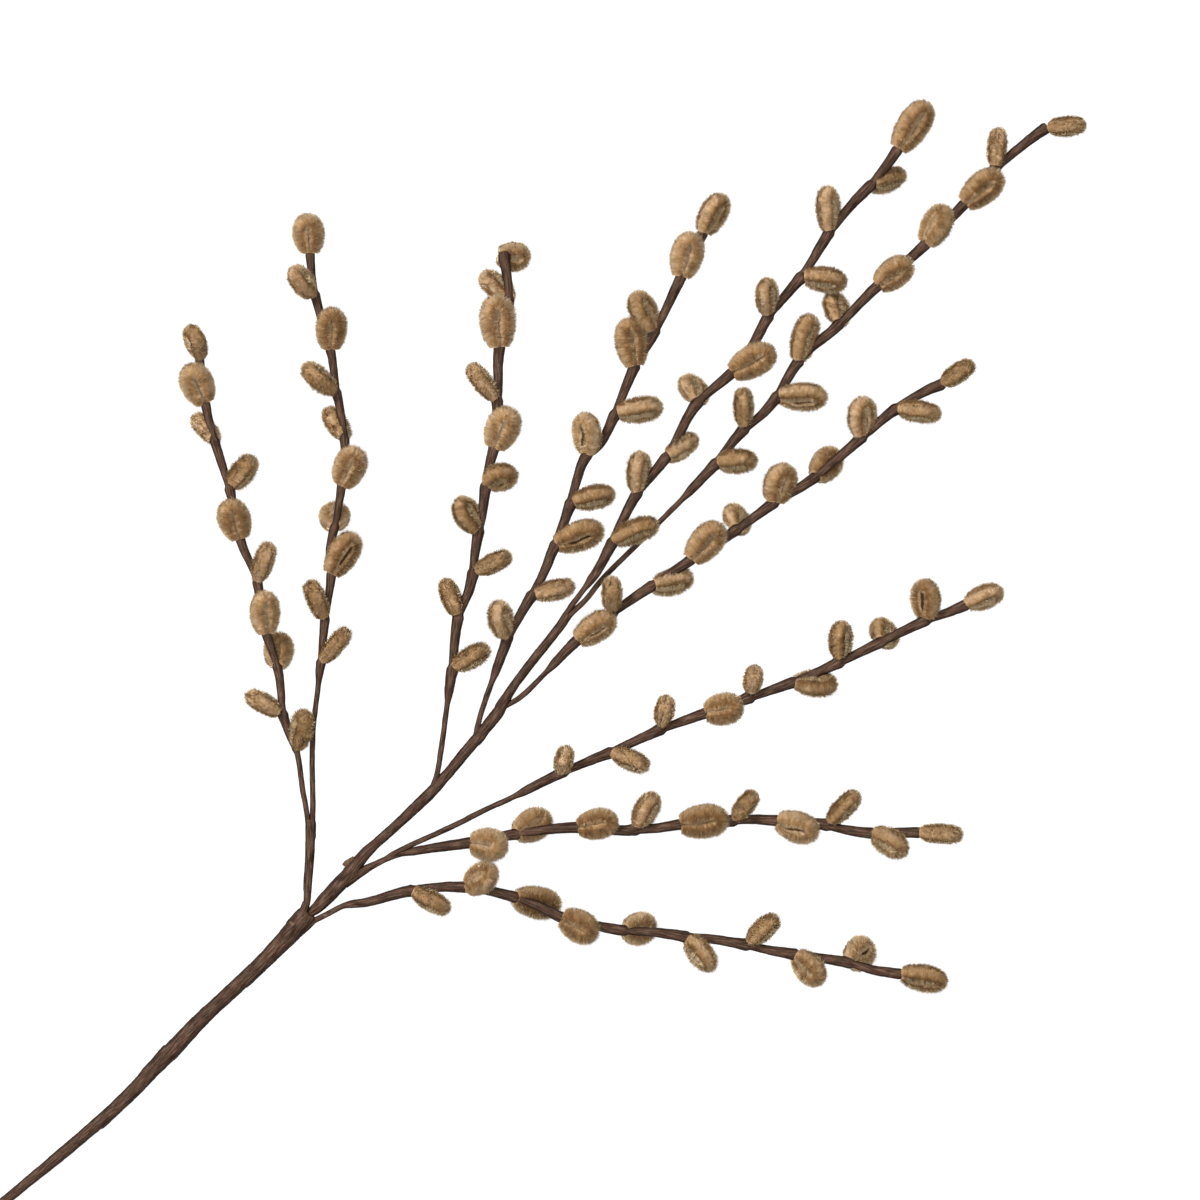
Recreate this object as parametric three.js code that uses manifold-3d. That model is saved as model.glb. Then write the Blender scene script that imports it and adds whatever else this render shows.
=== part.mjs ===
// Willow branch: a wired spray of ten taped twigs that lies flat, each twig with ten soft catkin loops
import * as THREE from 'three';
import { mergeVertices } from 'three/addons/utils/BufferGeometryUtils.js';
import Module from 'manifold-3d';

const wasm = await Module();
wasm.setup();

// Driving dimensions, in millimetres
const GRID_STEP = 0.45; // one step of the plan grid that places every stem and catkin
const GRID_ORIGIN = [478.39, 704.24]; // plan grid point that stands over the part's origin
const SEAT_GAP = 0.3; // room round a wire end in its blind socket
const BARE_WIRE_RADIUS = 0.6; // a twig's wire end, inside its socket
const SOCKET_DEPTH = 4.5; // how far a wire end runs inside its socket
const WRAP_FLARE = 3; // length over which the first layer of tape comes up to its full radius
const SECOND_WRAP_FLARE = 5; // and the second layer
const THIN_WRAP_RADIUS = 1.15; // a twig where one layer of tape covers the wire
const WRAP_ABOVE_CATKIN = 1.7; // a twig's radius just past a catkin
const WRAP_BELOW_CATKIN = 2.3; // a twig's radius where tape binds a catkin's two ends
const BIND_LEAD = 1.5; // the fattest binding lies this far before the catkin's foot
const BIND_END = 3; // and it is over this far past the foot
const LOOP_HALF_WIDTH = 7.4; // a catkin's half width, across both legs of its chenille loop
const LOOP_HALF_DEPTH = 4.6; // and its half thickness, one chenille radius
const LOBE_SHARE = 0.55; // where along the half width each leg is thickest

// Shape resolution, lengths in millimetres
const STEM_SIDES = 8;
const TWIG_SIDES = 5;
const THIN_RING_SPACING = 12; // between rings on a thin twig
const LONGEST_PLAIN_SPAN = 8; // a longer span between two catkins gets one more ring
const CLOSEST_RINGS = 0.2; // rings nearer than this are left out
const ROUTE_SAMPLES = 800; // places along a route that are tried when the nearest one is sought
const MERGE_DISTANCE = 1e-4;
const SMALLEST_DETAIL = 0.05; // finer detail than this is smoothed out of a joined solid

// Sections of a catkin from its foot to its tip, as shares: place along its length, half width, half
// thickness, and how much of the thickness is left in the crease between its two legs
const LOOP_SECTIONS = [
  [-0.03, 0.13, 0.22, 1], [0.25, 0.76, 0.8, 0.6], [0.53, 1, 1, 0.5], [0.8, 0.85, 0.92, 0.62],
  [0.98, 0.36, 0.45, 1],
];

// Stem routes: plan grid x, plan grid y (downwards), height and radius in millimetres
const STEMS = {
  lower_stem: [
    [-126, 1307, 1.9, 2.1], [-96, 1283, 1.9, 2.1], [-40, 1237, 3, 2.2], [18, 1189, 4.5, 2.3],
    [64, 1151, 6, 2.8], [110, 1111, 7.5, 2.9], [152, 1069, 9, 3.1], [168, 1052, 9.6, 3.6],
    [200, 1019, 10.6, 3.4], [240, 982, 12, 3.4], [266, 957, 13, 3.6], [288, 935, 13.9, 4.3],
    [302, 920, 14.5, 4.6], [309, 912, 14.8, 4.4],
  ],
  upper_stem: [
    [296, 926, 13.4, 1.6], [306, 915, 13.9, 1.6], [316, 907, 15, 2.6], [323, 900, 15.4, 3.2],
    [340, 882, 15.9, 3.4], [350, 872, 16.1, 3.3], [360, 859, 16.4, 2.7], [373, 845, 16.6, 2.3],
    [392, 828, 16.8, 2.2], [410, 811, 17, 2.5], [427, 795, 17.2, 2.7], [443, 778, 17.4, 2.3],
    [466, 750, 17.8, 2.6], [482, 731, 18, 2.6], [498, 711, 18.2, 2.7], [506, 697, 18.4, 2.3],
    [519, 677, 18.6, 2.0], [545, 644, 19, 2.1], [560, 625, 19.2, 2.1], [568, 613, 19.4, 2.2],
  ],
  stem_ab: [
    [297, 921, 16.4, 0.9], [303, 911, 16.8, 0.9], [306.5, 902, 16.8, 1.6], [308, 881, 16.8, 1.9],
    [309.6, 858, 17, 2.1], [310.2, 840, 17.2, 2.2], [310.3, 818, 17.4, 2.3],
  ],
};

// Twigs. route: plan grid x, y and, where it is given, the height. wrap: where the second layer of
// tape starts. catkins, from the tip down: foot x, y, tip x, y, rise of the tip over the foot in
// millimetres, and roll in degrees, positive where the left leg is the higher one.
const TWIGS = {
  twig_a: {
    wrap: [297, 755],
    route: [
      [308.4, 832, 17.4], [308, 822], [306, 806, 17.4], [303, 790], [297, 752, 16.5], [290, 735],
      [283, 712, 15.8], [278, 670, 13.9], [265, 628, 15.6], [256, 577, 16.2], [241, 540],
      [230, 490, 17.2], [215, 440], [205, 400, 17.8], [201, 370], [199, 352, 18],
    ],
    catkins: [
      [200, 358, 193, 327, 12, -50], [203, 402, 190, 363, 8, 0], [213, 441, 198, 413, -13, 30],
      [230, 488, 254, 456, -2, 85], [240, 537, 229, 498, 7, 0], [257, 580, 268, 541, 4, 85],
      [266, 632, 263, 589, 5, 25], [275, 666, 280, 632, -13, 10], [283, 712, 246, 694, -2, 85],
      [293, 748, 307, 709, 8, -60],
    ],
  },
  twig_b: {
    wrap: [318, 685],
    route: [
      [312.4, 832, 17.4], [312.6, 822], [313, 806, 17.2], [312, 765, 15.5], [313, 725, 14],
      [318, 685, 15], [325, 620, 18], [331, 575], [330, 548], [337, 515, 18.3], [344, 465],
      [345, 440, 18.3], [341, 412], [336, 385], [331, 350], [320, 312], [313, 280], [310, 250, 19],
    ],
    catkins: [
      [311, 253, 308, 213, 6, 0], [318, 293, 292, 270, 10, 50], [331, 348, 333, 306, 5, 10],
      [337, 388, 305, 368, 8, 50], [342, 438, 332, 406, -12, 35], [345, 485, 354, 446, 7, 0],
      [339, 527, 333, 503, -15, 0], [331, 572, 354, 535, 3, 20], [327, 618, 310, 582, 3, 90],
      [325, 668, 345, 627, 2, 90],
    ],
  },
  twig_c: {
    wrap: [447, 705],
    route: [
      [421, 801, 17.2], [430, 790, 17.6], [436, 776, 18], [441, 750], [447, 705, 18], [452, 668],
      [458, 618], [470, 585], [476, 545, 18], [482, 515], [487, 475], [495, 440], [498, 395],
      [499, 350], [507, 315], [509, 292, 17.5], [505, 262], [503, 250, 17.5],
    ],
    catkins: [
      [502, 256, 534, 258, -12, 40], [500, 298, 485, 270, -13, 60], [500, 347, 496, 294, 5, 10],
      [494, 398, 469, 363, 2, 85], [494, 446, 510, 407, 8, 0], [488, 485, 517, 465, 8, 45],
      [478, 530, 455, 497, 4, 50], [472, 572, 511, 553, 4, 85], [459, 616, 444, 577, -2, 85],
      [453, 668, 489, 645, 3, 75],
    ],
  },
  twig_d: {
    wrap: [491, 683],
    route: [
      [464, 753, 17.8], [474, 738, 18.2], [481, 712], [491, 683, 18], [503, 650], [510, 632],
      [524, 607], [543, 573, 18], [553, 548], [566, 515], [575, 485], [585, 457, 18], [600, 443],
      [615, 412], [634, 367], [655, 330, 18], [680, 278], [695, 247], [704, 230, 18.5],
    ],
    catkins: [
      [704, 230, 727, 193, 3, 45], [682, 276, 693, 231, 4, 10], [655, 327, 634, 291, 4, 45],
      [637, 365, 628, 317, 3, 15], [615, 409, 664, 404, 3, 45], [588, 452, 584, 411, 6, 40],
      [574, 502, 615, 489, 3, 60], [553, 545, 604, 529, 2, 20], [530, 593, 575, 584, -2, 80],
      [507, 636, 495, 601, 8, 60],
    ],
  },
  twig_e: {
    wrap: [583, 590],
    route: [
      [561, 620, 19.2], [566.3, 611.8, 19.6], [583, 589, 20.5], [597, 570, 21.5], [610, 545, 22],
      [622, 520, 22], [636, 494, 21.5], [655, 470], [670, 450, 21], [695, 405], [735, 368, 19],
      [752, 345], [768, 316, 18.5], [805, 270], [829, 232, 17], [850, 205, 16], [873, 181, 14.6],
      [888, 162, 15.5], [899, 146, 16],
    ],
    catkins: [
      [901, 147, 929, 100, 2, 25], [874, 182, 907, 172, -13, 80], [829, 230, 829, 186, 2, 60],
      [805, 273, 849, 280, 4, 45], [767, 313, 767, 277, 8, 60], [732, 358, 777, 352, 4, 0],
      [697, 398, 690, 373, -14, 45], [668, 455, 698, 435, -8, 75], [636, 491, 640, 450, 4, 60],
      [612, 538, 658, 520, 8, 60],
    ],
  },
  twig_f: {
    wrap: [680, 500],
    route: [
      [565.5, 621, 19.2], [569.8, 614, 19.2], [586, 598, 18.2], [602, 578, 17.2], [635, 545, 16.8],
      [665, 515, 16.8], [685, 495], [718, 459], [740, 432], [765, 410], [780, 390, 17.2],
      [800, 358], [838, 324, 17.2], [876, 286], [918, 250, 17.6], [962, 205], [995, 168],
      [1020, 146], [1047, 125, 18],
    ],
    catkins: [
      [1048, 125, 1085, 124, 4, 85], [995, 168, 999, 126, -2, 85], [964, 203, 1001, 171, 4, 20],
      [920, 246, 947, 205, 2, 45], [876, 286, 914, 261, 4, 25], [838, 323, 836, 291, -12, 50],
      [800, 358, 812, 313, 2, 50], [777, 395, 828, 396, 2, 45], [744, 428, 743, 386, 3, 80],
      [717, 462, 757, 457, 4, 65],
    ],
  },
  twig_g: {
    wrap: [545, 672],
    route: [
      [492, 719, 18], [502, 707, 18.1], [520, 696, 18.2], [545, 672], [575, 641, 18],
      [612, 612], [655, 582], [690, 559, 18], [733, 531], [775, 501], [812, 478, 18],
      [862, 436], [896, 407], [925, 390], [944, 382, 18.5],
    ],
    catkins: [
      [944, 384, 977, 359, 4, 85], [896, 408, 941, 413, 3, 75], [862, 436, 862, 395, 4, 35],
      [812, 476, 838, 449, -11, 10], [775, 502, 786, 461, 4, 30], [735, 531, 736, 506, -14, 20],
      [688, 558, 726, 529, 4, 0], [656, 582, 694, 580, -6, 55], [612, 611, 611, 578, 10, 85],
      [575, 640, 613, 614, 3, 30],
    ],
  },
  twig_h: {
    wrap: [512, 796],
    route: [
      [384, 857.5, 16.8], [394, 852, 17.3], [412, 843, 17.8], [450, 826], [490, 806],
      [512, 796, 18.2], [560, 772], [612, 750], [661, 728, 18.2], [704, 712], [750, 696],
      [800, 678], [839, 661], [882, 640, 18.2], [926, 619], [950, 610], [968, 602, 18.8],
    ],
    catkins: [
      [968, 603, 1002, 588, 4, 60], [926, 620, 931, 577, 3, 45], [882, 650, 884, 621, -13, 20],
      [839, 660, 842, 620, 3, 60], [800, 679, 839, 683, 4, 50], [750, 697, 756, 663, 6, 85],
      [704, 712, 743, 706, 4, 0], [661, 728, 668, 695, 7, 85], [612, 753, 648, 762, 6, 60],
      [563, 771, 565, 748, 15, 60],
    ],
  },
  twig_i: {
    wrap: [424, 848],
    route: [
      [338, 884, 15.8], [348, 876, 16], [362, 868, 16.4], [376, 862, 16.7], [395, 854, 17],
      [408, 851, 17.2], [424, 848, 17.5], [450, 844], [470, 841, 18], [507, 834], [540, 829],
      [578, 826, 17.5], [620, 829], [655, 827], [680, 823], [728, 820, 17.5], [750, 818],
      [776, 819], [812, 821], [835, 826], [865, 831], [895, 831], [921, 831, 18],
    ],
    catkins: [
      [921, 832, 963, 833, 2, 85], [872, 833, 907, 850, 6, 50], [832, 822, 858, 792, 4, 70],
      [777, 817, 819, 832, 4, 25], [733, 818, 757, 791, 8, 75], [680, 823, 728, 820, 3, 0],
      [637, 831, 655, 792, 3, 40], [578, 824, 618, 822, 6, 0], [512, 832, 546, 816, -10, 0],
      [470, 840, 509, 847, 6, 0],
    ],
  },
  twig_j: {
    wrap: [366, 902],
    route: [
      [299, 932, 15.4], [307, 924, 15.6], [315, 919, 15.6], [325, 914, 15.4], [345, 904, 15.3],
      [366, 901, 15.5], [411, 889, 15.8], [435, 886], [464, 886, 16], [492, 890], [518, 897],
      [540, 905], [562, 916, 16], [605, 926], [622, 929], [655, 931], [686, 935, 16],
      [715, 938], [747, 944], [770, 949], [795, 953], [822, 957], [850, 962, 14.7], [875, 969],
      [903, 973, 16],
    ],
    catkins: [
      [903, 973, 948, 981, 2, 45], [850, 962, 872, 944, -14, 10], [795, 952, 823, 981, 5, 40],
      [747, 942, 774, 916, 4, 75], [686, 938, 713, 971, 3, 50], [622, 926, 652, 928, -12, 10],
      [561, 920, 598, 934, 5, 15], [517, 890, 559, 908, -5, 15], [464, 888, 494, 869, 8, -35],
      [411, 887, 449, 911, 6, 80],
    ],
  },
};

// What sits in whose sockets. A node is cut by the wire ends that run into it.
const SOCKETS = {
  twig_b: ['twig_a'],
  twig_f: ['twig_e'],
  twig_i: ['twig_h'],
  stem_ab: ['twig_a', 'twig_b'],
  upper_stem: ['twig_c', 'twig_d', 'twig_e', 'twig_f', 'twig_g', 'twig_i', 'stem_ab'],
  lower_stem: ['upper_stem', 'stem_ab', 'twig_j'],
};

// Finishes
const TAPE_BROWN = { color: 0x5f4a41, roughness: 0.75, metalness: 0 };
const CATKIN_TAN = { color: 0xa98a5f, roughness: 0.95, metalness: 0 };

function onPlan(x, y, height) {
  return new THREE.Vector3((x - GRID_ORIGIN[0]) * GRID_STEP, (GRID_ORIGIN[1] - y) * GRID_STEP, height);
}

// A closed skin over rings of equally many points, with a flat cap at each end
function loft(rings) {
  const sides = rings[0].length;
  const positions = rings.flat().flatMap((point) => [point.x, point.y, point.z]);
  const faces = [];
  for (let ring = 0; ring < rings.length - 1; ring += 1) {
    const here = ring * sides;
    const next = here + sides;
    for (let side = 0; side < sides; side += 1) {
      const turn = (side + 1) % sides;
      faces.push(here + side, here + turn, next + turn);
      faces.push(here + side, next + turn, next + side);
    }
  }
  const last = (rings.length - 1) * sides;
  for (let side = 1; side < sides - 1; side += 1) {
    faces.push(0, side + 1, side);
    faces.push(last, last + side, last + side + 1);
  }
  const geometry = new THREE.BufferGeometry();
  geometry.setAttribute('position', new THREE.Float32BufferAttribute(positions, 3));
  geometry.setIndex(faces);
  return geometry;
}

function toSolid(geometry) {
  const merged = mergeVertices(geometry, MERGE_DISTANCE);
  return new wasm.Manifold(new wasm.Mesh({
    numProp: 3,
    vertProperties: new Float32Array(merged.attributes.position.array),
    triVerts: new Uint32Array(merged.index.array),
  }));
}

// A ring of points round a stem: the tangent lies near the plan, so up is never lost
function stemRing(centre, tangent, radius, sides) {
  const across = new THREE.Vector3(-tangent.y, tangent.x, 0).normalize();
  const up = new THREE.Vector3().crossVectors(tangent, across).normalize();
  const ring = [];
  for (let side = 0; side < sides; side += 1) {
    const angle = ((side + 0.5) / sides) * 2 * Math.PI - Math.PI / 2;
    ring.push(centre.clone()
      .addScaledVector(across, radius * Math.cos(angle))
      .addScaledVector(up, radius * Math.sin(angle)));
  }
  return ring;
}

// Heights that a route leaves out are spaced evenly between the given ones
function withHeights(route) {
  const full = route.map((point) => [...point]);
  let known = 0;
  for (let index = 1; index < full.length; index += 1) {
    if (full[index].length > 2) {
      const rise = (full[index][2] - full[known][2]) / (index - known);
      for (let gap = known + 1; gap < index; gap += 1) {
        full[gap][2] = full[known][2] + rise * (gap - known);
      }
      known = index;
    }
  }
  return full.map(([x, y, height]) => onPlan(x, y, height));
}

// A smooth stem through its route, with a radius for each station along it
class Stem {
  constructor(points) {
    this.curve = new THREE.CatmullRomCurve3(points, false, 'centripetal');
    this.curve.arcLengthDivisions = ROUTE_SAMPLES / 2;
    this.length = this.curve.getLength();
  }

  // Distance along the stem of the point nearest to a plan grid point
  distanceTo(x, y) {
    const target = onPlan(x, y, 0);
    let best = 0;
    let bestGap = Infinity;
    for (let index = 0; index <= ROUTE_SAMPLES; index += 1) {
      const point = this.curve.getPointAt(index / ROUTE_SAMPLES);
      const gap = Math.hypot(point.x - target.x, point.y - target.y);
      if (gap < bestGap) {
        bestGap = gap;
        best = (index / ROUTE_SAMPLES) * this.length;
      }
    }
    return best;
  }

  at(distance) {
    return this.curve.getPointAt(THREE.MathUtils.clamp(distance / this.length, 0, 1));
  }

  solid(stations, sides, extra) {
    const rings = stations.map(([distance, radius], index) => {
      const along = THREE.MathUtils.clamp(distance / this.length, 0, 1);
      const tangent = this.curve.getTangentAt(along);
      const centre = this.curve.getPointAt(along);
      if (index === 0 && extra > 0) centre.addScaledVector(tangent, -extra);
      return stemRing(centre, tangent, radius + extra, sides);
    });
    return toSolid(loft(rings));
  }
}

// One bent chenille loop from its foot on the twig to its round tip: two lobes with a crease between
function catkinLoop(foot, tip, rollDegrees) {
  const axis = new THREE.Vector3().subVectors(tip, foot);
  const length = axis.length();
  axis.normalize();
  const level = new THREE.Vector3(-axis.y, axis.x, 0).normalize();
  const upright = new THREE.Vector3().crossVectors(axis, level);
  const roll = THREE.MathUtils.degToRad(rollDegrees);
  const spread = level.clone().multiplyScalar(Math.cos(roll)).addScaledVector(upright, Math.sin(roll));
  const depth = new THREE.Vector3().crossVectors(axis, spread);
  const rings = LOOP_SECTIONS.map(([along, width, thickness, crease]) => {
    const w = width * LOOP_HALF_WIDTH;
    const t = thickness * LOOP_HALF_DEPTH;
    const outline = [
      [w, 0], [w * LOBE_SHARE, t], [0, t * crease], [-w * LOBE_SHARE, t],
      [-w, 0], [-w * LOBE_SHARE, -t], [0, -t * crease], [w * LOBE_SHARE, -t],
    ];
    return outline.map(([side, height]) => foot.clone()
      .addScaledVector(axis, along * length)
      .addScaledVector(spread, side)
      .addScaledVector(depth, height));
  });
  return toSolid(loft(rings));
}

// A taped stem with a radius at each point of its route, and the room that it needs in a socket
function plainStem(route) {
  const stem = new Stem(route.map(([x, y, height]) => onPlan(x, y, height)));
  const stations = route.map(([x, y, , radius]) => [stem.distanceTo(x, y), radius]);
  stations[0][0] = 0;
  stations[stations.length - 1][0] = stem.length;
  return {
    body: stem.solid(stations, STEM_SIDES, 0),
    socket: stem.solid(stations, STEM_SIDES, SEAT_GAP),
  };
}

// A twig's stations: bare wire in the socket, thin wrap, then a swelling below each catkin's foot
function twigStations(stem, wrapStart, feet) {
  const thinStart = SOCKET_DEPTH + WRAP_FLARE;
  const thinRun = wrapStart - thinStart;
  const thinSteps = Math.max(1, Math.round(thinRun / THIN_RING_SPACING));
  const stations = [[0, BARE_WIRE_RADIUS], [SOCKET_DEPTH, BARE_WIRE_RADIUS], [thinStart, THIN_WRAP_RADIUS]];
  for (let step = 1; step <= thinSteps; step += 1) {
    stations.push([thinStart + (thinRun * step) / thinSteps, THIN_WRAP_RADIUS]);
  }
  let previous = wrapStart + SECOND_WRAP_FLARE;
  stations.push([previous, WRAP_ABOVE_CATKIN]);
  for (const foot of feet) {
    const binding = foot - BIND_LEAD;
    if (binding - previous > LONGEST_PLAIN_SPAN) {
      stations.push([(previous + foot) / 2, (WRAP_ABOVE_CATKIN + WRAP_BELOW_CATKIN) / 2]);
    }
    stations.push([binding, WRAP_BELOW_CATKIN]);
    previous = foot + BIND_END;
    if (previous < stem.length) stations.push([previous, WRAP_ABOVE_CATKIN]);
  }
  stations.push([stem.length, WRAP_ABOVE_CATKIN]);
  return stations.filter(([distance], index) => index === 0
    || distance > stations[index - 1][0] + CLOSEST_RINGS);
}

// A twig with its catkins, whose feet are sunk into the tape that binds them
function catkinTwig({ wrap, route, catkins }) {
  const stem = new Stem(withHeights(route));
  const feet = catkins.map(([x, y]) => stem.distanceTo(x, y)).sort((a, b) => a - b);
  const stations = twigStations(stem, stem.distanceTo(...wrap), feet);
  let body = stem.solid(stations, TWIG_SIDES, 0);
  for (const [footX, footY, tipX, tipY, rise, roll] of catkins) {
    const foot = stem.at(Math.min(stem.distanceTo(footX, footY), stem.length - BIND_LEAD));
    const tip = onPlan(tipX, tipY, foot.z + rise);
    body = body.add(catkinLoop(foot, tip, roll));
  }
  return { body, socket: stem.solid(stations, TWIG_SIDES, SEAT_GAP) };
}

// The biggest piece of a solid: cutting a shallow groove can leave loose scraps
function biggestPiece(solid) {
  return solid.decompose().reduce((best, piece) => (piece.volume() > best.volume() ? piece : best));
}

function toMesh(name, solid, finish) {
  const { vertProperties, triVerts } = solid.getMesh();
  const geometry = new THREE.BufferGeometry();
  geometry.setAttribute('position', new THREE.Float32BufferAttribute(vertProperties, 3));
  geometry.setIndex(new THREE.Uint32BufferAttribute(triVerts, 1));
  geometry.computeVertexNormals();
  const mesh = new THREE.Mesh(geometry, new THREE.MeshStandardMaterial(finish));
  mesh.name = name;
  return mesh;
}

const made = {};
for (const [name, route] of Object.entries(STEMS)) made[name] = plainStem(route);
for (const [name, twig] of Object.entries(TWIGS)) made[name] = catkinTwig(twig);

const group = new THREE.Group();
for (const name of Object.keys(made)) {
  let solid = made[name].body;
  for (const guest of SOCKETS[name] ?? []) solid = solid.subtract(made[guest].socket);
  const resting = biggestPiece(solid.trimByPlane([0, 0, 1], 0)).simplify(SMALLEST_DETAIL);
  group.add(toMesh(name, resting, name in TWIGS ? CATKIN_TAN : TAPE_BROWN));
}

export default group;
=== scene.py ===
# Willow branch: taped wire stems and twigs that carry soft chenille catkin loops, dressed over the frame
import math

import bpy
import numpy as np
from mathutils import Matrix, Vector


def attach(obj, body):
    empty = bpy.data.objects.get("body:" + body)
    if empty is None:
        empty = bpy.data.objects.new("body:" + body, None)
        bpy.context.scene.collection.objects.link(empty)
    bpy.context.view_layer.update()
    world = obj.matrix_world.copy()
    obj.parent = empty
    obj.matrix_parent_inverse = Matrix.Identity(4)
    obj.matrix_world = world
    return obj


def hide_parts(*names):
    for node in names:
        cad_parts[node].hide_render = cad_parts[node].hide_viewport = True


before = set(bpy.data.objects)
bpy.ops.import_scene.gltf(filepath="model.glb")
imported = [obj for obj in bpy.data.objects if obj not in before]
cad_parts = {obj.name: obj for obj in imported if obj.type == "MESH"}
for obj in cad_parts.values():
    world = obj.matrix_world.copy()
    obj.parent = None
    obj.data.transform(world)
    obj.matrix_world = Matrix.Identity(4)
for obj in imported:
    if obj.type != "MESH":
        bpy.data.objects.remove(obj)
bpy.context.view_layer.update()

MM = 0.001  # lengths below are in millimetres, as in the part's source, and become metres in the meshes
SEED = 20260

# The plan grid of the part's source: one step, and the grid point over the origin
GRID_STEP = 0.45
GRID_ORIGIN = (478.39, 704.24)

# Driving dimensions of the tape and of the chenille loops
SOCKET_DEPTH = 1.0  # how far a twig's bare wire runs before its tape starts
BARE_WIRE_RADIUS = 0.9
THIN_WRAP_RADIUS = 1.25  # a twig where one layer of tape covers the wire
WRAP_ABOVE_CATKIN = 1.8  # a twig's radius just past a catkin
WRAP_BELOW_CATKIN = 2.6  # a twig's radius where tape binds a catkin's two legs
WRAP_FLARE = 3.0  # length over which the first layer of tape comes up to its full radius
SECOND_WRAP_FLARE = 7.0  # and the second layer
BIND_LEAD = 1.5  # least length of twig past the foot of its last catkin
BIND_END = 2.2  # length over which the binding runs out past a catkin's foot
LOOP_HALF_WIDTH = 7.3  # a catkin's half width, across both legs of its chenille loop
LOOP_HALF_DEPTH = 4.45  # and its half thickness, one chenille radius

# Stem routes: plan grid x, plan grid y (downwards), height and radius in millimetres
STEMS = {
    "lower_stem": [
        (-126, 1307, 1.9, 2.1), (-96, 1283, 1.9, 2.1), (-40, 1237, 3, 2.2), (18, 1189, 4.5, 2.3),
        (64, 1151, 6, 2.8), (110, 1111, 7.5, 2.9), (152, 1069, 9, 3.1), (168, 1052, 9.6, 3.6),
        (200, 1019, 10.6, 3.4), (240, 982, 12, 3.4), (266, 957, 13, 3.6), (288, 935, 13.9, 4.3),
        (302, 920, 14.5, 4.6), (309, 912, 14.8, 4.4),
    ],
    "upper_stem": [
        (296, 926, 13.4, 1.6), (306, 915, 13.9, 1.6), (316, 907, 15, 2.6), (323, 900, 15.4, 3.2),
        (340, 882, 15.9, 3.4), (350, 872, 16.1, 3.3), (360, 859, 16.4, 2.7), (373, 845, 16.6, 2.3),
        (392, 828, 16.8, 2.2), (410, 811, 17, 2.5), (427, 795, 17.2, 2.7), (443, 778, 17.4, 2.3),
        (466, 750, 17.8, 2.6), (482, 731, 18, 2.6), (498, 711, 18.2, 2.7), (506, 697, 18.4, 2.3),
        (519, 677, 18.6, 2.0), (545, 644, 19, 2.1), (560, 625, 19.2, 2.1), (568, 613, 19.4, 2.2),
    ],
    "stem_ab": [
        (297, 921, 16.4, 0.9), (303, 911, 16.8, 0.9), (306.5, 902, 16.8, 1.6), (308, 881, 16.8, 1.9),
        (309.6, 858, 17, 2.1), (310.2, 840, 17.2, 2.2), (310.3, 818, 17.4, 2.3),
    ],
}

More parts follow.
